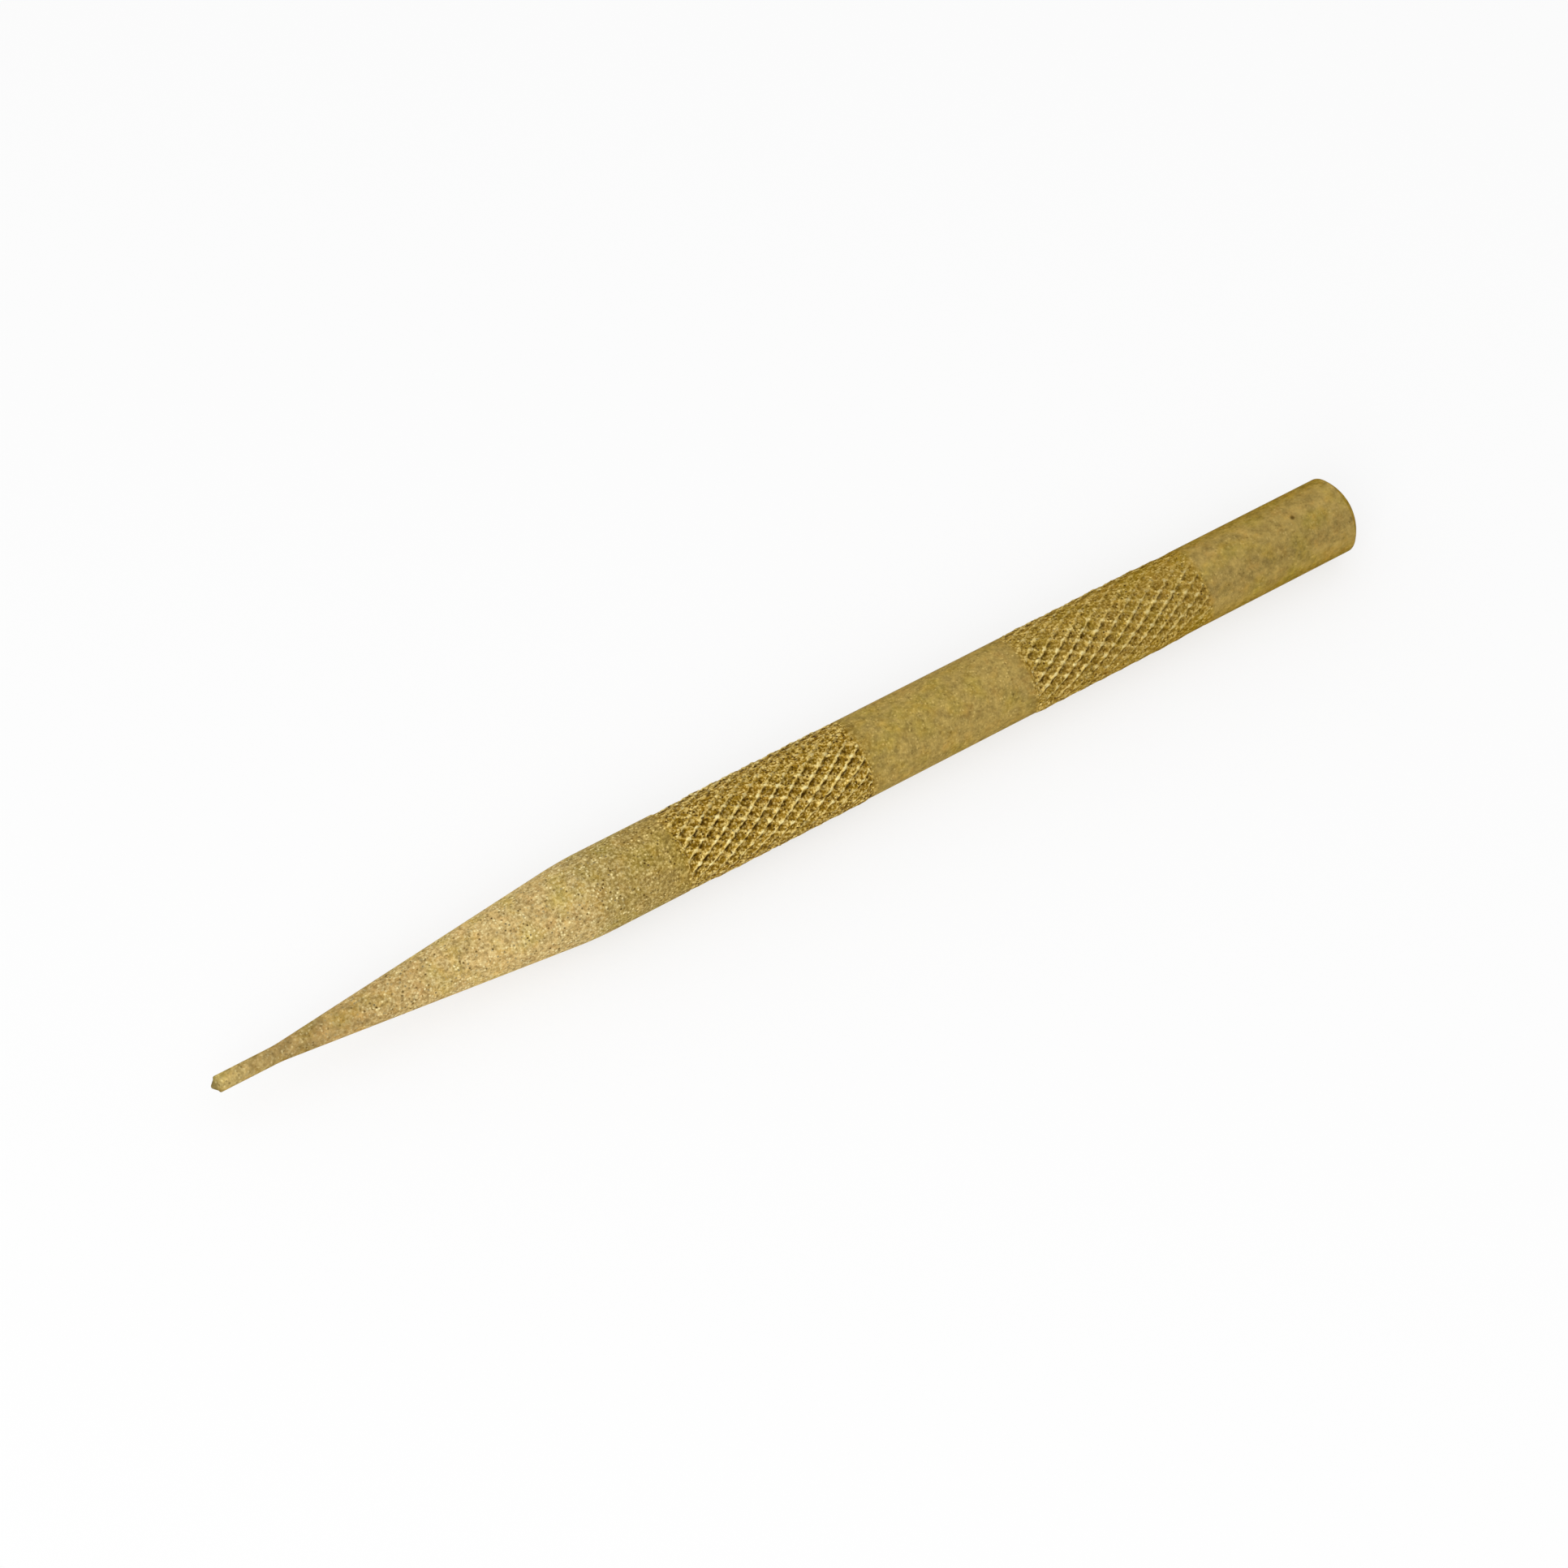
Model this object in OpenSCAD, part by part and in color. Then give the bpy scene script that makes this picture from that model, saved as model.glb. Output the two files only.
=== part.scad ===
// Pilot punch: a hand punch turned from one brass bar, with a slim nibbed pilot at the tip,
// a long taper, two diamond-knurled grip bands and a crowned striking head.
// It lies along X with the tip towards -X and rests on the crests of its knurl bands. Sizes in millimetres.

/* [Pilot] */
// Length of the blunt cone that centres itself in the mouth of a hollow pin
nib_len = 0.55; // [0.3:0.01:0.8]
// Diameter of the nib where it leaves the stem's end face
nib_d = 1.28; // [0.8:0.01:1.4]
// Radius of the nib's rounded point
nib_point_r = 0.25; // [0.1:0.01:0.3]
// Diameter of the stem, which follows the pin through its hole
stem_d = 1.6; // [1.5:0.05:4]
// Length of the stem, from the nib to the taper
stem_len = 6.2; // [4:0.1:12]
// Bevel on the edge of the stem's end face
stem_bevel = 0.1; // [0.04:0.01:0.15]

/* [Taper] */
// Length of the cone that grows from the stem to the shank
taper_len = 31.4; // [20:0.1:45]
// Radius that blends the stem into the cone
blend_r = 12; // [4:1:20]
// Radius that eases the shoulder between the cone and the shank
shoulder_r = 40; // [10:1:60]

/* [Shank] */
// Diameter of the plain shank behind the taper
shank_d = 7.94; // [7:0.01:10]
// Length of the plain shank, from the taper to the front knurl
shank_len = 9.9; // [6:0.1:20]
// Diameter of the smooth marking band between the two knurls
marking_d = 7.96; // [6.8:0.01:10]
// Length of the marking band
marking_len = 18.8; // [10:0.1:30]

/* [Knurl] */
// Diameter over the crests of the ridges
crest_d = 8.2; // [8:0.01:10.4]
// Length of the front knurl band
front_knurl_len = 20.3; // [8:0.1:30]
// Length of the rear knurl band
rear_knurl_len = 20.6; // [8:0.1:30]
// Ridges of each hand around the bar
knurl_starts = 19; // [14:1:30]
// Angle between a ridge and the bar's axis, in degrees
knurl_angle = 31; // [25:1:45]
// Depth of the diamond pits below the crests
pit_depth = 0.32; // [0.15:0.01:0.5]
// Width left on top of a ridge between two pits
ridge_w = 0.24; // [0.1:0.01:0.4]
// Length over which the knurl fades at a band's outer end, towards the taper or the head
outer_fade_len = 6; // [1:0.1:7]
// Length over which the knurl fades at a band's inner end, beside the marking band
inner_fade_len = 0.8; // [0.6:0.1:7]
// Plain length left between the end of a band and its first row of pits
collar_len = 0.08; // [0.05:0.01:0.5]

/* [Head] */
// Diameter of the plain head
head_d = 7.9; // [7:0.01:10]
// Length of the plain head, from the rear knurl to the crown
head_len = 17.55; // [10:0.05:30]
// Height of the crowned striking face
crown_h = 1.7; // [0.6:0.1:2.6]
// Radius that softens the edge between the head and its crown
rim_r = 0.2; // [0.1:0.05:0.6]

/* [Hidden] */
$fn = 96;
// Straight steps that stand for a small rounding
arc_steps = 5;
// How far the pit cutters stand proud of the crests
cutter_over = 0.03;
// Narrowest flat ring left round the nib, to push on the pin's end
least_ring = 0.02;

stem_r = stem_d / 2;
nib_r = min(nib_d / 2, stem_r - stem_bevel - least_ring);
shank_r = shank_d / 2;
marking_r = marking_d / 2;
crest_r = crest_d / 2;
head_r = head_d / 2;

// Places along the bar, counted from the nib's point
stem_from = nib_len;
taper_from = stem_from + stem_len;
shank_from = taper_from + taper_len;
front_knurl_from = shank_from + shank_len;
marking_from = front_knurl_from + front_knurl_len;
rear_knurl_from = marking_from + marking_len;
head_from = rear_knurl_from + rear_knurl_len;
crown_from = head_from + head_len;
punch_len = crown_from + crown_h;

// The nib's cone starts where it touches the ball at its point
nib_slant = norm([nib_r, nib_len - nib_point_r]);
nib_turn = atan2(nib_r, nib_point_r - nib_len) - acos(nib_point_r / nib_slant);
function nib_point(turn) = nib_point_r * [sin(turn), 1 - cos(turn)];

// The blends turn through the cone's own angle, from the stem to the cone and from the cone to the shank
cone_angle = atan((shank_r - stem_r) / taper_len);
blend_from = taper_from - blend_r * tan(cone_angle / 2);
shoulder_to = shank_from + shoulder_r * tan(cone_angle / 2);
function sagitta(r, turn) = r * (1 - cos(turn));
function blend_point(turn) = [stem_r + sagitta(blend_r, turn), blend_from + blend_r * sin(turn)];
function shoulder_point(turn) = [shank_r - sagitta(shoulder_r, turn), shoulder_to - shoulder_r * sin(turn)];

// The crown is part of a ball, and the rim's rounding touches the head's side and that ball
crown_ball_r = (head_r * head_r + crown_h * crown_h) / (2 * crown_h);
crown_ball_at = punch_len - crown_ball_r;
rim_from = crown_ball_at + sqrt(pow(crown_ball_r - rim_r, 2) - pow(head_r - rim_r, 2));
rim_turn = atan((rim_from - crown_ball_at) / (head_r - rim_r));
function rim_point(turn) = [head_r - rim_r + rim_r * cos(turn), rim_from + rim_r * sin(turn)];
crown_base = rim_point(rim_turn);

// Half of a pit's cell around the bar, and half of it along the bar at the nominal angle
cell_half_arc = PI * crest_r / knurl_starts;
cell_half_len = cell_half_arc / tan(knurl_angle);
cell_turn = 360 / knurl_starts;
pit_floor_r = crest_r - pit_depth;
// A cutter's flat top has to clear the crests all across its cell
cutter_r = crest_r / cos(cell_turn / 4) + cutter_over;

function arc(steps, turn) = [for (i = [0 : steps]) turn * i / steps];
function on_bar(r, turn, along) = [r * cos(turn), r * sin(turn), along];

// Half section of the turned bar: radius across, place along the bar upwards
module turned_section() {
    polygon(concat(
        [for (turn = arc(arc_steps, nib_turn)) nib_point(turn)],
        [[nib_r, stem_from], [stem_r - stem_bevel, stem_from], [stem_r, stem_from + stem_bevel]],
        [for (turn = arc(arc_steps, cone_angle)) blend_point(turn)],
        [for (turn = arc(arc_steps, cone_angle)) shoulder_point(cone_angle - turn)],
        [[shank_r, front_knurl_from]],
        [[crest_r, front_knurl_from + outer_fade_len], [crest_r, marking_from - inner_fade_len]],
        [[marking_r, marking_from], [marking_r, rear_knurl_from]],
        [[crest_r, rear_knurl_from + inner_fade_len], [crest_r, head_from - outer_fade_len]],
        [[head_r, head_from]],
        [for (turn = arc(arc_steps, rim_turn)) rim_point(turn)],
        [[0, crown_base[1]]]
    ));
    intersection() {
        translate([0, crown_ball_at]) circle(crown_ball_r);
        translate([0, crown_base[1]]) square([head_r, crown_h]);
    }
}

// Diamond pits of one knurl band, as four-sided points that are pressed into the bar.
// Rows of pits are staggered by half a cell, so that the metal left between them is
// two crossing sets of ridges. The first and last rows are cut off square at the band's ends,
// and the pits get shallower where the crests slope down to the plain bar.
module knurl_pits(from, length) {
    low = from + collar_len;
    high = from + length - collar_len;
    rows = max(2, round((high - low) / cell_half_len));
    row_step = (high - low) / rows;
    centre_to_ridge = cell_half_arc * row_step / norm([cell_half_arc, row_step]);
    share_at_crest = 1 - ridge_w / 2 / centre_to_ridge;
    share = share_at_crest * (cutter_r - pit_floor_r) / pit_depth;
    half_turn = share * cell_turn / 2;
    half_len = share * row_step;
    pits = [for (row = [0 : rows], i = [0 : knurl_starts - 1])
        [(i + row % 2 / 2) * cell_turn, low + row * row_step]];
    polyhedron(
        points = [for (pit = pits) let (turn = pit[0], along = pit[1]) each [
            on_bar(pit_floor_r, turn, along),
            on_bar(cutter_r, turn, max(low, along - half_len)),
            on_bar(cutter_r, turn + half_turn, along),
            on_bar(cutter_r, turn, min(high, along + half_len)),
            on_bar(cutter_r, turn - half_turn, along)
        ]],
        faces = [for (n = [0 : len(pits) - 1]) let (tip = 5 * n) each [
            for (side = [0 : 3]) [tip, tip + 1 + side, tip + 1 + (side + 1) % 4],
            [tip + 1, tip + 3, tip + 2],
            [tip + 1, tip + 4, tip + 3]
        ]]
    );
}

// The whole tool: one bar, turned and then knurled, laid down on the crests of its knurls
module punch() {
    color([0.66, 0.56, 0.28])
    translate([-punch_len / 2, 0, crest_r])
    rotate([0, 90, 0])
    difference() {
        rotate_extrude() turned_section();
        knurl_pits(front_knurl_from, front_knurl_len);
        knurl_pits(rear_knurl_from, rear_knurl_len);
    }
}

punch();
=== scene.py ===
import math

import bpy
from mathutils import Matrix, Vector


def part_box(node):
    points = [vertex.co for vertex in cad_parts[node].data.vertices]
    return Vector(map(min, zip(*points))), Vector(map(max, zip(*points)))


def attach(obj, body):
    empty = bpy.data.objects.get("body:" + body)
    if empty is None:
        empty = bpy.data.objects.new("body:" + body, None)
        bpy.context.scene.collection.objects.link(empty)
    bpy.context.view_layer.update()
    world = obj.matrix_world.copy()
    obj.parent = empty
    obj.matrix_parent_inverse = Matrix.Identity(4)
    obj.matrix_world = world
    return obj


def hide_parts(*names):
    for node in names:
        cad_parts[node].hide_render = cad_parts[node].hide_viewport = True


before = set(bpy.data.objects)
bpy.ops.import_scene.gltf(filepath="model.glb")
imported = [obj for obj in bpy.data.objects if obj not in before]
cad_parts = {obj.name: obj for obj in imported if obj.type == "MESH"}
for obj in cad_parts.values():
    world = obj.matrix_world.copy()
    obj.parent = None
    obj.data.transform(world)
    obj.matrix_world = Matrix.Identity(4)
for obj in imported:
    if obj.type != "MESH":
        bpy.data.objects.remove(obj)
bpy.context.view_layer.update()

# Brass bar, the turned shape
# The whole punch is one round brass bar, turned in a lathe from the nib at the tip to the crown
# on the head. Every edge is eased a little, as tumbling in grit leaves it.
mm = 0.001
lowest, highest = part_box("punch")
tip_x = lowest.x
bar_length = highest.x - lowest.x
axis_height = (lowest.z + highest.z) / 2
crest_radius = (highest.z - lowest.z) / 2

nib_length = 0.55 * mm
nib_radius = 0.64 * mm
nib_point = 0.25 * mm
nib_root = 0.04 * mm
stem_radius = 0.8 * mm
stem_length = 6.2 * mm
stem_edge = 0.1 * mm
taper_length = 31.4 * mm
taper_blend = 12 * mm
shoulder_blend = 40 * mm
shank_radius = 3.97 * mm
shank_length = 9.9 * mm
front_knurl_length = 20.3 * mm
marking_radius = 3.98 * mm
marking_length = 18.8 * mm
rear_knurl_length = 20.6 * mm
head_radius = 3.95 * mm
crown_height = 1.7 * mm
rim_radius = 0.2 * mm

knurl_starts = 19
knurl_angle = math.radians(31)
outer_fade = 6 * mm
inner_fade = 0.8 * mm
knurl_collar = 0.08 * mm
half_diamond_arc = math.pi * crest_radius / knurl_starts

# Places along the bar, counted from the nib's point
taper_from = nib_length + stem_length
shank_from = taper_from + taper_length
front_knurl_from = shank_from + shank_length
marking_from = front_knurl_from + front_knurl_length
rear_knurl_from = marking_from + marking_length
head_from = rear_knurl_from + rear_knurl_length

# Half a diamond of the knurl has as many mesh rings along the bar as mesh columns round it
rings_per_row = 7
columns = knurl_starts * rings_per_row * 2
plain_spacing = 1.2 * mm


def straight(start, end):
    """Places and radii from just after start up to end, no further apart than the plain spacing."""
    steps = math.ceil(math.dist(start, end) / plain_spacing)
    shares = [step / steps for step in range(1, steps + 1)]
    return [tuple(a + (b - a) * share for a, b in zip(start, end)) for share in shares]


def arc(centre, radius, first, last, steps):
    """Places and radii round a centre, where angle 0 points to the head and 90 away from the axis."""
    centre_place, centre_height = centre
    angles = [math.radians(first + (last - first) * step / steps) for step in range(steps + 1)]
    return [
        (centre_place + radius * math.cos(angle), centre_height + radius * math.sin(angle))
        for angle in angles
    ]


def ease(share):
    """Smooth step from 0 to 1."""
    share = min(1, max(0, share))
    return share * share * (3 - 2 * share)


def knurl_rows(length):
    """Number of half diamonds along a band, and the length of one."""
    pitted_length = length - 2 * knurl_collar
    rows = round(pitted_length / (half_diamond_arc / math.tan(knurl_angle)))
    return rows, pitted_length / rows


def crests(start, length, fade_in, fade_out, radius_in, radius_out):
    """Places and radii over the crests of one knurl band, with its rings on the corners of the diamonds."""
    rows, row_length = knurl_rows(length)
    points = []
    for ring in range(rows * rings_per_row + 1):
        place = start + knurl_collar + row_length * ring / rings_per_row
        rise_in = radius_in + (crest_radius - radius_in) * ease((place - start) / fade_in)
        rise_out = radius_out + (crest_radius - radius_out) * ease((start + length - place) / fade_out)
        points.append((place, min(rise_in, rise_out)))
    return points


nib_slant = math.hypot(nib_radius, nib_length - nib_point)
nib_turn = math.atan2(nib_radius, nib_point - nib_length) - math.acos(nib_point / nib_slant)
nib_angle = math.degrees(nib_turn)
nib_root_centre = (nib_length - nib_root, nib_radius + nib_root * math.tan(nib_turn / 2))
cone_angle = math.degrees(math.atan((shank_radius - stem_radius) / taper_length))
half_cone = math.radians(cone_angle / 2)
shoulder_centre = (shank_from + shoulder_blend * math.tan(half_cone), shank_radius - shoulder_blend)
shoulder = arc(shoulder_centre, shoulder_blend, 90 + cone_angle, 90, steps=6)
crown_ball = (head_radius ** 2 + crown_height ** 2) / (2 * crown_height)
crown_centre = bar_length - crown_ball
rim_from = crown_centre + math.sqrt((crown_ball - rim_radius) ** 2 - (head_radius - rim_radius) ** 2)
rim_angle = math.degrees(math.atan2(head_radius - rim_radius, rim_from - crown_centre))

# Half section of the bar, from the nib's point to the top of the crown
profile = arc((nib_point, 0), nib_point, 180, 180 - nib_angle, steps=6)
profile += arc(nib_root_centre, nib_root, 360 - nib_angle, 360, steps=3)
profile += arc((nib_length + stem_edge, stem_radius - stem_edge), stem_edge, 180, 90, steps=5)
profile += straight(profile[-1], (taper_from - taper_blend * math.tan(half_cone), stem_radius))
neck_centre = (profile[-1][0], stem_radius + taper_blend)
profile += arc(neck_centre, taper_blend, 270, 270 + cone_angle, steps=6)[1:]
profile += straight(profile[-1], shoulder[0]) + shoulder[1:]
profile += straight(profile[-1], (front_knurl_from, shank_radius))
front_first_ring = len(profile)
profile += crests(
    front_knurl_from,
    front_knurl_length,
    fade_in=outer_fade,
    fade_out=inner_fade,
    radius_in=shank_radius,
    radius_out=marking_radius,
)
profile.append((marking_from, marking_radius))
profile += straight(profile[-1], (rear_knurl_from, marking_radius))
rear_first_ring = len(profile)
profile += crests(
    rear_knurl_from,
    rear_knurl_length,
    fade_in=inner_fade,
    fade_out=outer_fade,
    radius_in=marking_radius,
    radius_out=head_radius,
)
profile.append((head_from, head_radius))
profile += straight(profile[-1], (rim_from, head_radius))
profile += arc((rim_from, head_radius - rim_radius), rim_radius, 90, rim_angle, steps=5)[1:]
profile += arc((crown_centre, 0), crown_ball, rim_angle, 0, steps=10)[1:]


def ring_corner(ring, column):
    """Index of a corner, counted from the tip and from below the bar. The two ends are single corners."""
    if ring == 0:
        return 0
    if ring == len(profile) - 1:
        return 1 + (len(profile) - 2) * columns
    return 1 + (ring - 1) * columns + column % columns


def pit_ring(ring):
    """Ring within the pitted length of a knurl band, or None on the plain bar."""
    for first, length in ((front_first_ring, front_knurl_length), (rear_first_ring, rear_knurl_length)):
        if first <= ring < first + knurl_rows(length)[0] * rings_per_row:
            return ring - first
    return None


def from_ridge(cells):
    """Distance to the nearest ridge line, in cells, when the lines lie half-way between whole cells."""
    return abs(cells % 1 - 0.5)


corners = [Vector((tip_x, 0, axis_height))]
for place, radius in profile[1:-1]:
    for column in range(columns):
        angle = math.tau * column / columns
        height = axis_height - radius * math.cos(angle)
        corners.append(Vector((tip_x + place, radius * math.sin(angle), height)))
corners.append(Vector((tip_x + profile[-1][0], 0, axis_height)))

# Faces run along the nearest ridge where the bar is knurled, so that no ridge is notched
faces = []
rings_per_cell = 2 * rings_per_row
for ring in range(len(profile) - 1):
    row = pit_ring(ring)
    for column in range(columns):
        near, near_next = ring_corner(ring, column), ring_corner(ring, column + 1)
        far, far_next = ring_corner(ring + 1, column), ring_corner(ring + 1, column + 1)
        if ring == 0:
            faces.append((near, far_next, far))
        elif ring == len(profile) - 2:
            faces.append((near, near_next, far))
        elif row is None:
            faces.append((near, near_next, far_next, far))
        elif from_ridge((column + row + 1) / rings_per_cell) < from_ridge((column - row) / rings_per_cell):
            faces += [(near, near_next, far), (far, near_next, far_next)]
        else:
            faces += [(near, far_next, far), (near, near_next, far_next)]

scene = bpy.context.scene
bar_mesh = bpy.data.meshes.new("punch_bar")
bar_mesh.from_pydata(corners, [], faces)
bar_mesh.shade_smooth()
bar = bpy.data.objects.new("punch_bar", bar_mesh)
scene.collection.objects.link(bar)

# Brass bar, the finish
# Bare brass, tumbled in grit and a little tarnished: tan and speckled on the taper, olive on the
# shank, browner on the head. Dirt and painted shade stay in the knurl's pits, a painted shadow lies
# behind each high ridge, and handling polishes its crests, which also carry painted highlights.
# The bright grain carries painted glints, and the nib painted shade.


def add_node(tree, kind, inputs=(), **settings):
    """Adds a node. Inputs pair a socket's name or number with a value or with the socket that feeds it."""
    node = tree.nodes.new(kind)
    for name, value in settings.items():
        setattr(node, name, value)
    for name, value in dict(inputs).items():
        if isinstance(value, bpy.types.NodeSocket):
            tree.links.new(value, node.inputs[name])
        else:
            node.inputs[name].default_value = value
    return node


def calculate(operation, *values):
    """Result of one step of arithmetic, in the tree of the first socket among its values."""
    tree = next(value.id_data for value in values if isinstance(value, bpy.types.NodeSocket))
    return add_node(tree, "ShaderNodeMath", enumerate(values), operation=operation).outputs[0]


def times(first, *others):
    for other in others:
        first = calculate("MULTIPLY", first, other)
    return first


def plus(first, *others):
    for other in others:
        first = calculate("ADD", first, other)
    return first


def minus(first, second):
    return calculate("SUBTRACT", first, second)


def share_of(value, low, high, to_low=0.0, to_high=1.0, curve="LINEAR"):
    """How far a value is from low to high, held between the two ends that are given for it."""
    inputs = {"Value": value, "From Min": low, "From Max": high, "To Min": to_low, "To Max": to_high}
    return add_node(value.id_data, "ShaderNodeMapRange", inputs, interpolation_type=curve).outputs[0]


def eased_share(value, low, high, to_low=0.0, to_high=1.0):
    return share_of(value, low, high, to_low, to_high, "SMOOTHSTEP")


def noise(place, size, detail, roughness=0.5):
    """Uneven values about one half, with blotches of the given size."""
    inputs = {"Vector": place, "Scale": 1 / size, "Detail": detail, "Roughness": roughness}
    return add_node(place.id_data, "ShaderNodeTexNoise", inputs).outputs[0]


def past_ridge(cells, ridge_reach):
    """Distance past the nearest ridge line, negative before it. The reach is half-way to the next line."""
    return times(plus(calculate("FRACT", cells), -0.5), 2.0, ridge_reach)


brass = bpy.data.materials.new("tumbled_brass")
brass.use_nodes = True
shading = brass.node_tree
shading.nodes.clear()


def linear(red, green, blue):
    """Colour of a surface from its everyday 0 to 255 values, as the shader takes it."""
    shares = [value / 255 for value in (red, green, blue)]
    return tuple(s / 12.92 if s <= 0.04045 else ((s + 0.055) / 1.055) ** 2.4 for s in shares) + (1.0,)


def grey(level):
    """Plain grey, which also stands for a number along a ramp."""
    return (level, level, level, 1.0)


def tinted(colour, tint, amount, blend="MIX"):
    """Colour with a tint laid over it by an amount."""
    inputs = {"Factor": amount, 6: colour, 7: tint}
    return add_node(shading, "ShaderNodeMix", inputs, data_type="RGBA", blend_type=blend).outputs[2]


def shaded(colour, factor):
    """Colour made lighter or darker by a factor."""
    inputs = {0: colour, "Scale": factor}
    return add_node(shading, "ShaderNodeVectorMath", inputs, operation="SCALE").outputs[0]


def ramp(value, stops):
    """Colours at their places along the bar."""
    node = add_node(shading, "ShaderNodeValToRGB", {0: value})
    elements = node.color_ramp.elements
    while len(elements) < len(stops):
        elements.new(0.5)
    for element, (place, colour) in zip(elements, stops):
        element.position = place / bar_length
        element.color = colour
    return node.outputs[0]


def from_bar(name):
    """Value that the knurl leaves on the bar's corners."""
    return add_node(shading, "ShaderNodeAttribute", attribute_name=name).outputs["Fac"]


place_on_bar = add_node(shading, "ShaderNodeTexCoord").outputs["Object"]
x_on_bar, y_on_bar, z_on_bar = add_node(shading, "ShaderNodeSeparateXYZ", {0: place_on_bar}).outputs
along = share_of(x_on_bar, tip_x, tip_x + bar_length)

# Tones of the metal from the tip to the head, which change quickly at the edges of the bands
stem_tan = linear(205, 181, 114)
neck_brown = linear(182, 154, 96)
taper_straw = linear(197, 168, 107)
taper_pale = linear(213, 184, 121)
shoulder_straw = linear(202, 175, 113)
shank_olive = linear(178, 153, 87)
edge_brown = linear(165, 138, 71)
front_grip_brown = linear(166, 129, 30)
marking_olive = linear(177, 151, 83)
rear_grip_brown = linear(173, 140, 56)
head_brown = linear(181, 154, 87)
head_dull = linear(175, 149, 82)
edge = 0.2 * mm
tone = ramp(along, [
    (0.0, stem_tan),
    (taper_from, neck_brown),
    (taper_from + 2.7 * mm, neck_brown),
    (taper_from + 5.4 * mm, taper_straw),
    (taper_from + 10.8 * mm, taper_straw),
    (taper_from + 20.41 * mm, taper_pale),
    (shank_from - 1.5 * mm, shoulder_straw),
    (shank_from + 2 * mm, shank_olive),
    # Darker brown just beside the edges of the bands
    (front_knurl_from - edge, edge_brown),
    (front_knurl_from + edge, front_grip_brown),
    (marking_from - edge, front_grip_brown),
    (marking_from + edge, edge_brown),
    (marking_from + 1.5 * mm, marking_olive),
    (rear_knurl_from - 1.2 * mm, marking_olive),
    (rear_knurl_from - edge, edge_brown),
    (rear_knurl_from + edge, rear_grip_brown),
    (head_from - edge, rear_grip_brown),
    (head_from + edge, head_brown),
    (head_from + 8 * mm, head_dull),
    (bar_length, head_brown),
])

# Painted glints: colours of the bright specks and grains, which stand in for sparkle and are
# palest on the taper
stem_glint = linear(255, 236, 170)
taper_glint = linear(255, 242, 186)
grip_glint = linear(243, 215, 132)
head_glint = linear(214, 190, 120)
painted_glint = ramp(along, [
    (0.0, stem_glint),
    (taper_from, taper_glint),
    (shank_from, taper_glint),
    (front_knurl_from, grip_glint),
    (head_from, grip_glint),
    (bar_length, head_glint),
])

# How strongly the tumbling grit marks the metal, how matt it leaves it, and how much of it is bare
grit = ramp(along, [
    (0.0, grey(0.2)),
    (taper_from + 4.725 * mm, grey(0.2)),
    (taper_from + 10.8 * mm, grey(0.38)),
    (shank_from, grey(0.38)),
    (front_knurl_from - edge, grey(0.42)),
    (front_knurl_from + edge, grey(0.9)),
    (marking_from - edge, grey(0.8)),
    (marking_from + edge, grey(0.18)),
    (rear_knurl_from - edge, grey(0.18)),
    (rear_knurl_from + edge, grey(0.62)),
    (head_from - edge, grey(0.42)),
    (head_from + edge, grey(0.13)),
    (bar_length, grey(0.14)),
])
matt = ramp(along, [
    (0.0, grey(0.56)),
    (taper_from, grey(0.64)),
    (taper_from + 6.75 * mm, grey(0.82)),
    (shank_from, grey(0.82)),
    (front_knurl_from, grey(0.6)),
    (bar_length, grey(0.46)),
])
bare = ramp(along, [
    (0.0, grey(0.9)),
    (taper_from, grey(0.9)),
    (taper_from + 6.75 * mm, grey(0.7)),
    (taper_from + 13.5 * mm, grey(0.45)),
    (front_knurl_from, grey(0.45)),
    (marking_from, grey(0.6)),
    (rear_knurl_from, grey(0.75)),
    (head_from, grey(1.0)),
])

# Washes of tarnish, then soft mottling where the grit has marked least
moss_green = (0.94, 1.0, 0.72, 1.0)
moss_size = 2.2 * mm
rust_red = (1.06, 0.95, 0.88, 1.0)
rust_size = 1.1 * mm
wash_most = 0.9
mottle_size = 0.7 * mm
mottle_most = 0.32
moss = share_of(noise(place_on_bar, moss_size, detail=2), 0.46, 0.7, 0.0, wash_most)
rust = share_of(noise(place_on_bar, rust_size, detail=3), 0.48, 0.72, 0.0, wash_most)
tarnished = tinted(tinted(tone, moss_green, moss, "MULTIPLY"), rust_red, rust, "MULTIPLY")
unmarked = minus(1.0, times(grit, 0.9))
mottle = noise(place_on_bar, mottle_size, detail=2)
mottling = times(share_of(mottle, 0.25, 0.75, -mottle_most, mottle_most), unmarked)
mottled = shaded(tarnished, plus(mottling, 1.0))

# Grain of the tumbled skin, with bright and dark facets in loose clusters; the bright grains and
# facets are painted glints
dark_brown = linear(86, 62, 16)
grain_size = 0.3 * mm
facet_size = 0.25 * mm
cluster_size = 1.3 * mm
grain = noise(place_on_bar, grain_size, detail=2, roughness=0.7)
grain_and_glints = tinted(mottled, painted_glint, times(share_of(grain, 0.5, 0.64), grit))
grain_and_glints = tinted(grain_and_glints, dark_brown, times(share_of(grain, 0.5, 0.34), grit))
facets = add_node(shading, "ShaderNodeTexVoronoi", {"Vector": place_on_bar, "Scale": 1 / facet_size})
from_facet = facets.outputs["Distance"]
facet_chance = add_node(shading, "ShaderNodeSeparateColor", {0: facets.outputs["Color"]}).outputs
clusters = share_of(noise(place_on_bar, cluster_size, detail=1), 0.3, 0.7, 0.8, 2.6)
facet_core = times(share_of(from_facet, 0.6, 0.25), grit, clusters)
glint_specks = times(share_of(facet_chance[0], 0.68, 0.82), facet_core)
dark_specks = times(share_of(facet_chance[1], 0.74, 0.88), facet_core)
# Painted glints on the bright specks, and the dark specks of the grain
speckled = tinted(tinted(grain_and_glints, painted_glint, glint_specks), dark_brown, dark_specks)
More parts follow.
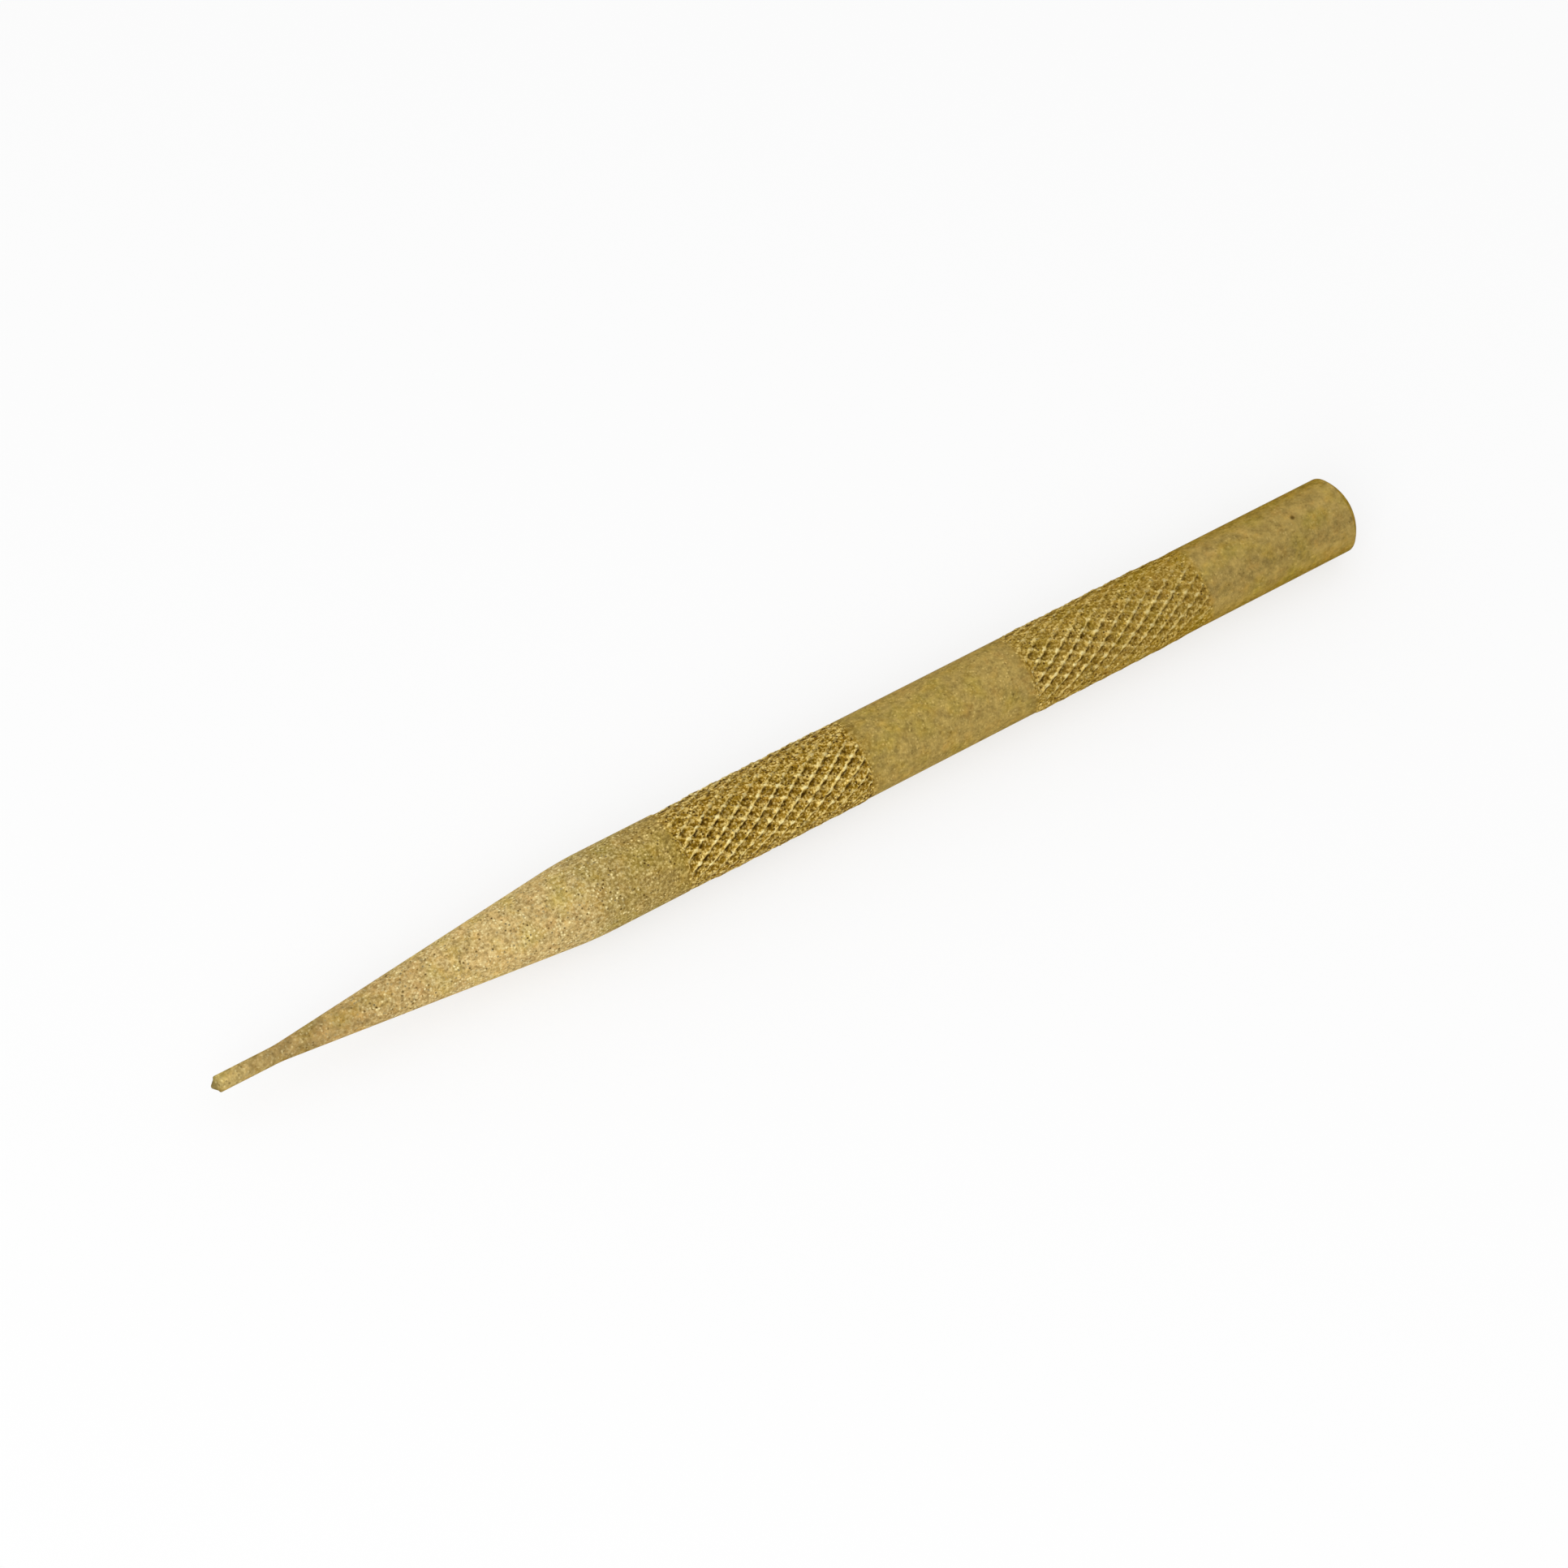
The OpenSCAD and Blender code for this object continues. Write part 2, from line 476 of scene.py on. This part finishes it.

# The nib is darkened with painted shade, and one dark fleck sits on the head
nib_shade_brown = linear(84, 70, 32)
painted_nib_shade = share_of(x_on_bar, tip_x + 0.9 * mm, tip_x + 0.2 * mm, 0.0, 0.6)
nib_shaded = tinted(speckled, nib_shade_brown, painted_nib_shade)
fleck_from_tip = 119.5 * mm
fleck_angle = math.radians(191.5)
fleck_core = 0.08 * mm
fleck_rim = 0.36 * mm
fleck_at = (
    tip_x + fleck_from_tip,
    head_radius * math.sin(fleck_angle),
    axis_height - head_radius * math.cos(fleck_angle),
)
to_fleck = add_node(shading, "ShaderNodeVectorMath", {0: place_on_bar, 1: fleck_at}, operation="DISTANCE")
fleck = eased_share(to_fleck.outputs["Value"], fleck_core, fleck_rim, 0.85, 0.0)
flecked = tinted(nib_shaded, dark_brown, fleck)

# Distances past the lines of the high ridges, and from those of the low ridges that cross them
ridge_reach = half_diamond_arc * math.cos(knurl_angle)
jitter_size = 0.3 * mm
jitter_most = 0.09
bite = from_bar("bite")
cells_along_bar = from_bar("cells")
turn_on_bar = calculate("ARCTAN2", y_on_bar, minus(axis_height, z_on_bar))
cells_round_bar = times(turn_on_bar, knurl_starts / math.tau)
jitter = share_of(noise(place_on_bar, jitter_size, detail=1), 0.2, 0.8, -jitter_most, jitter_most)
high_cells = plus(cells_round_bar, cells_along_bar, from_bar("wander"), jitter)
low_cells = plus(minus(cells_round_bar, cells_along_bar), jitter)
past_high = past_ridge(high_cells, ridge_reach)
from_high = calculate("ABSOLUTE", past_high)
from_low = calculate("ABSOLUTE", past_ridge(low_cells, ridge_reach))

# Distances over which painted ridge shadow, pit film with painted shade, and polish with painted
# highlights come and go beside a ridge line
ridge_shadow_start = (0.08 * mm, 0.16 * mm)
ridge_shadow_end = (0.24 * mm, 0.52 * mm)
pit_film_shade_start = (0.1 * mm, 0.4 * mm)
high_crest = (0.05 * mm, 0.15 * mm)
high_foot = (0.08 * mm, 0.26 * mm)
low_crest = (0.02 * mm, 0.09 * mm)
low_foot = (0.08 * mm, 0.3 * mm)
low_flank = (0.1 * mm, 0.36 * mm)

# A painted shadow lies behind the steep side of each high ridge, and a thinner film of dirt, which
# also stands in for shade, settles in the pits
pit_film_shade_brown = linear(104, 73, 9)
ridge_shadow_brown = linear(54, 32, 0)
blot_size = 0.5 * mm
blots = noise(place_on_bar, blot_size, detail=2)
painted_ridge_shadow = times(
    eased_share(past_high, *ridge_shadow_start),
    eased_share(past_high, *ridge_shadow_end, 1.0, 0.0),
    eased_share(from_low, *low_flank, 0.05, 1.0),
    eased_share(blots, 0.34, 0.5, 0.4, 1.0),
)
pit_film_and_shade = times(
    eased_share(from_high, *pit_film_shade_start),
    eased_share(from_low, *low_foot, 0.2, 1.0),
    eased_share(blots, 0.36, 0.64, 0.2, 0.7),
)
# A film of dirt in the pits, which also stands in for their painted shade
with_pit_film_and_shade = tinted(flecked, pit_film_shade_brown, times(pit_film_and_shade, bite))
# Painted shadow of the high ridges laid over the colour
ridge_shadowed = tinted(with_pit_film_and_shade, ridge_shadow_brown, times(painted_ridge_shadow, bite))

# Hands polish the crests, most of all the beads where ridges cross, and painted highlights lie on
# the same places
crest_gold = linear(250, 225, 144)
bead_highlight_gold = linear(255, 241, 178)
rub_size = 0.45 * mm
rubbed = eased_share(noise(place_on_bar, rub_size, detail=1), 0.38, 0.6, 0.15, 1.0)
near_low = eased_share(from_low, *low_flank, 1.0, 0.75)
on_high = times(eased_share(from_high, *high_crest, 1.0, 0.0), rubbed, near_low)
on_low = times(eased_share(from_low, *low_crest, 0.35, 0.0), rubbed)
bead_polish_and_highlight = times(
    eased_share(from_high, *high_foot, 1.0, 0.0),
    eased_share(from_low, *low_foot, 1.0, 0.0),
    plus(times(rubbed, 0.5), 0.5),
)
polish_and_highlight = times(calculate("MAXIMUM", calculate("MAXIMUM", on_high, on_low), bead_polish_and_highlight), bite)
# Polish with painted highlights on the crests and beads
surface = tinted(ridge_shadowed, tinted(crest_gold, bead_highlight_gold, bead_polish_and_highlight), polish_and_highlight)

rough = plus(share_of(grain, 0.3, 0.7, -0.08, 0.08), matt)
bump_height = plus(grain, from_facet, polish_and_highlight)
bump = add_node(shading, "ShaderNodeBump", {"Strength": 0.8, "Distance": 0.03 * mm, "Height": bump_height})
metal = add_node(shading, "ShaderNodeBsdfPrincipled", {
    "Base Color": surface,
    "Metallic": bare,
    "Roughness": rough,
    "Specular IOR Level": 0.14,
    "Specular Tint": (0.36, 0.3, 0.17, 1),
    "Normal": bump.outputs[0],
})
add_node(shading, "ShaderNodeOutputMaterial", {"Surface": metal.outputs[0]})
bar_mesh.materials.append(brass)

# Brass bar, the two knurl bands
# Two wheels roll the grip into the bar: they press diamond pits and leave two crossing hands of
# ridges, one higher than the other. The bar is a little three-lobed, so three sides are pressed deeper.
roller = bpy.data.node_groups.new("roll_knurl", "GeometryNodeTree")
roller.interface.new_socket("Bar", in_out="INPUT", socket_type="NodeSocketGeometry")
roller.interface.new_socket("Bar", in_out="OUTPUT", socket_type="NodeSocketGeometry")
pit_depth = 0.32 * mm
roller_sizes = {
    "Starts": knurl_starts,
    "Axis Height": axis_height,
    "Floor Radius": crest_radius - pit_depth,
    "Collar": knurl_collar,
    "Crest Half Width": 0.05 * mm,
    "Gentle Foot": 0.54 * mm,
    "Steep Foot": 0.26 * mm,
    "Low Foot": 0.26 * mm,
    "Low Height": 0.5,
    "Saddle Height": 0.78,
    "Crossing Blend": 0.1,
    "End Ease": 0.12 * mm,
    "Deep Side": math.radians(227),
    "Deep Sides": 3,
    "Shallow Depth": 0.45,
}
band_sizes = ("Pits From", "Pits To", "Row Length", "Ridge Reach", "Bite At Start", "Bite At End")
sockets = {
    name: roller.interface.new_socket(name, in_out="INPUT", socket_type="NodeSocketFloat").identifier
    for name in (*roller_sizes, *band_sizes)
}
metal_input = roller.interface.new_socket("Metal", in_out="INPUT", socket_type="NodeSocketMaterial")
sockets["Metal"] = metal_input.identifier
given = add_node(roller, "NodeGroupInput").outputs

corner = add_node(roller, "GeometryNodeInputPosition").outputs[0]
corner_x, corner_y, corner_z = add_node(roller, "ShaderNodeSeparateXYZ", {0: corner}).outputs
above_axis = minus(corner_z, given["Axis Height"])
turn = calculate("ARCTAN2", corner_y, times(above_axis, -1.0))
cells_round = times(calculate("DIVIDE", turn, math.tau), given["Starts"])
cells_along = calculate("DIVIDE", minus(corner_x, given["Pits From"]), times(given["Row Length"], 2.0))

# The high ridges wander, and are most ragged where the wheels press least
drift_size = 3 * mm
drift_most = 0.04
jag_size = 0.6 * mm
least_to_most_pressed = (-0.95, 0.35)
deep_sides = calculate("COSINE", times(minus(turn, given["Deep Side"]), given["Deep Sides"]))
pressed = eased_share(deep_sides, *least_to_most_pressed, given["Shallow Depth"], 1.0)
drift = share_of(noise(corner, drift_size, detail=2), 0.2, 0.8, -drift_most, drift_most)
jag_most = eased_share(deep_sides, *least_to_most_pressed, 0.2, 0.08)
jag = times(share_of(noise(corner, jag_size, detail=1), 0.2, 0.8, -1.0, 1.0), jag_most)
wander = plus(drift, jag)

# A high ridge leans: it rises gently and falls steeply, and dips to a saddle between the low ridges
past_line = past_ridge(plus(cells_round, cells_along, wander), given["Ridge Reach"])
before_line = calculate("MAXIMUM", times(past_line, -1.0), 0.0)
behind_line = calculate("MAXIMUM", past_line, 0.0)
gentle_side = share_of(before_line, given["Crest Half Width"], given["Gentle Foot"], 1.0, 0.0)
steep_side = eased_share(behind_line, given["Crest Half Width"], given["Steep Foot"], 1.0, 0.0)
from_crossing = calculate("ABSOLUTE", past_ridge(minus(cells_round, cells_along), given["Ridge Reach"]))
low_ridge = eased_share(from_crossing, given["Crest Half Width"], given["Low Foot"], 1.0, 0.0)
saddle = eased_share(low_ridge, 0.0, 1.0, given["Saddle Height"], 1.0)
high_height = times(gentle_side, steep_side, saddle)
low_height = times(low_ridge, given["Low Height"])
ridges = calculate("SMOOTH_MAX", high_height, low_height, given["Crossing Blend"])

# Use has worn the ridges in places and pecked them all over
wear_size = 2.6 * mm
peck_size = 0.4 * mm
peck_most = 0.16
wear = eased_share(noise(corner, wear_size, detail=2), 0.3, 0.7, 0.85, 1.0)
pecks = share_of(noise(corner, peck_size, detail=1), 0.25, 0.75, -peck_most, peck_most)
worn_ridges = plus(times(ridges, wear), pecks)
worn_ridges = calculate("MAXIMUM", calculate("MINIMUM", worn_ridges, 1.0), 0.0)

# The pits start and stop within the band, and the wheels bite less towards the head
first_pit_end = plus(given["Pits From"], given["End Ease"])
last_pit_start = minus(given["Pits To"], given["End Ease"])
past_start = eased_share(corner_x, given["Pits From"], first_pit_end)
short_of_end = eased_share(corner_x, last_pit_start, given["Pits To"], 1.0, 0.0)
along_band = eased_share(
    corner_x,
    given["Pits From"],
    given["Pits To"],
    given["Bite At Start"],
    given["Bite At End"],
)
bite_here = times(past_start, short_of_end, pressed, along_band)
depth = times(minus(1.0, worn_ridges), bite_here)

# Corners sink towards the bar's axis, so their rise is negative
squared = plus(calculate("POWER", corner_y, 2.0), calculate("POWER", above_axis, 2.0))
bar_radius = calculate("SQRT", squared)
rise = times(minus(given["Floor Radius"], bar_radius), depth)
rise_share = calculate("DIVIDE", rise, bar_radius)
move = add_node(roller, "ShaderNodeCombineXYZ", {
    1: times(corner_y, rise_share),
    2: times(above_axis, rise_share),
}).outputs[0]

# Each band leaves its bite, cells and wander on its own corners, for the dirt and polish, and for
# the painted shade, shadow and highlights
past_band_start = calculate("GREATER_THAN", corner_x, minus(given["Pits From"], given["Collar"]))
short_of_band_end = calculate("LESS_THAN", corner_x, plus(given["Pits To"], given["Collar"]))
in_band = times(past_band_start, short_of_band_end)
marked = given["Bar"]
for mark, value in (("bite", bite_here), ("cells", cells_along), ("wander", wander)):
    before_mark = add_node(roller, "GeometryNodeInputNamedAttribute", {"Name": mark}, data_type="FLOAT")
    marked = add_node(roller, "GeometryNodeStoreNamedAttribute", {
        "Geometry": marked,
        "Name": mark,
        "Value": calculate("MULTIPLY_ADD", value, in_band, before_mark.outputs[0]),
    }, data_type="FLOAT", domain="POINT").outputs[0]
rolled = add_node(roller, "GeometryNodeSetPosition", {"Geometry": marked, "Offset": move})
whole = add_node(roller, "GeometryNodeRealizeInstances", {0: rolled.outputs[0]})
dressed = add_node(roller, "GeometryNodeSetMaterial", {0: whole.outputs[0], "Material": given["Metal"]})
add_node(roller, "NodeGroupOutput", {0: dressed.outputs[0]})

for name, start, length, first_bite, last_bite in (
    ("front_knurl", front_knurl_from, front_knurl_length, 1.0, 0.85),
    ("rear_knurl", rear_knurl_from, rear_knurl_length, 0.8, 0.55),
):
    row_length = knurl_rows(length)[1]
    sizes = {
        **roller_sizes,
        "Pits From": tip_x + start + knurl_collar,
        "Pits To": tip_x + start + length - knurl_collar,
        "Row Length": row_length,
        "Ridge Reach": half_diamond_arc * row_length / math.hypot(half_diamond_arc, row_length),
        "Bite At Start": first_bite,
        "Bite At End": last_bite,
    }
    modifier = bar.modifiers.new(name, "NODES")
    modifier.node_group = roller
    for size_name, value in sizes.items():
        modifier[sockets[size_name]] = float(value)
    modifier[sockets["Metal"]] = brass

evaluated = bar.evaluated_get(bpy.context.evaluated_depsgraph_get())
rolled_mesh = bpy.data.meshes.new_from_object(evaluated)
bar.modifiers.clear()
bar.data = rolled_mesh
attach(bar, "root")
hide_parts("punch")

# Floor
# A plain white table top that the punch lies on. It looks white to the eye and in the metal,
# and keeps the punch's soft shadow.
top_half = 1.5
top_paint = 0.92
top_glow = 0.7
top_corners = [
    (-top_half, -top_half, 0),
    (top_half, -top_half, 0),
    (top_half, top_half, 0),
    (-top_half, top_half, 0),
]
top_mesh = bpy.data.meshes.new("table_top")
top_mesh.from_pydata(top_corners, [], [(0, 1, 2, 3)])
table_top = bpy.data.objects.new("table_top", top_mesh)
scene.collection.objects.link(table_top)
white_top = bpy.data.materials.new("white_table_top")
white_top.use_nodes = True
top_shading = white_top.node_tree
top_shading.nodes.clear()
rays = add_node(top_shading, "ShaderNodeLightPath").outputs
seen = calculate("MAXIMUM", rays["Is Camera Ray"], rays["Is Glossy Ray"])
seen = calculate("MAXIMUM", seen, rays["Is Transmission Ray"])
paint = add_node(top_shading, "ShaderNodeBsdfDiffuse", {"Color": grey(top_paint)})
glow = add_node(top_shading, "ShaderNodeEmission", {"Color": grey(1.0), "Strength": 1.0})
mixed = add_node(top_shading, "ShaderNodeMixShader", {
    0: times(seen, top_glow),
    1: paint.outputs[0],
    2: glow.outputs[0],
})
add_node(top_shading, "ShaderNodeOutputMaterial", {"Surface": mixed.outputs[0]})
top_mesh.materials.append(white_top)

# Studio light
# A pale room, brighter overhead and at the back than in front and below, and one soft box that
# stands at the front left and looks down at the punch.
brightest_way = (0.0, 0.6, 0.8)
dim_to_bright = (-0.7, 0.25)
room_dim = 0.22
room_bright = 0.86
room = bpy.data.worlds.new("pale_room")
room.use_nodes = True
room_shading = room.node_tree
room_shading.nodes.clear()
way = add_node(room_shading, "ShaderNodeTexCoord").outputs["Generated"]
ways = {0: way, 1: brightest_way}
towards_back = add_node(room_shading, "ShaderNodeVectorMath", ways, operation="DOT_PRODUCT")
room_level = eased_share(towards_back.outputs["Value"], *dim_to_bright, room_dim, room_bright)
sky = add_node(room_shading, "ShaderNodeBackground", {"Color": grey(1.0), "Strength": room_level})
add_node(room_shading, "ShaderNodeOutputWorld", {"Surface": sky.outputs[0]})
scene.world = room

soft_box_side = 0.5
soft_box = bpy.data.lights.new("soft_box", "AREA")
soft_box.shape = "RECTANGLE"
soft_box.size = soft_box_side
soft_box.size_y = soft_box_side
soft_box.energy = 2.3
soft_box_object = bpy.data.objects.new("soft_box", soft_box)
soft_box_object.location = (-0.45, -0.45, 0.4)
towards_punch = Vector((0, 0, 0)) - soft_box_object.location
soft_box_object.rotation_euler = towards_punch.to_track_quat("-Z", "Y").to_euler()
scene.collection.objects.link(soft_box_object)

# Camera
# It stands to the left of the tip and looks down at the punch from about 0.4 m away.
camera_azimuth = math.radians(-33.144)
camera_elevation = math.radians(51.373)
camera_distance = 408.25 * mm
camera_aim = Vector((-1.978, 1.072, 4.1)) * mm
to_camera = Vector((
    math.sin(camera_azimuth) * math.cos(camera_elevation),
    -math.cos(camera_azimuth) * math.cos(camera_elevation),
    math.sin(camera_elevation),
))
lens = bpy.data.cameras.new("camera")
lens.sensor_width = 36
lens.lens = 99.85
lens.clip_start = 0.01
camera = bpy.data.objects.new("camera", lens)
camera.location = camera_aim + camera_distance * to_camera
camera.rotation_euler = (-to_camera).to_track_quat("-Z", "Y").to_euler()
scene.collection.objects.link(camera)
scene.camera = camera
scene.view_settings.view_transform = "Standard"
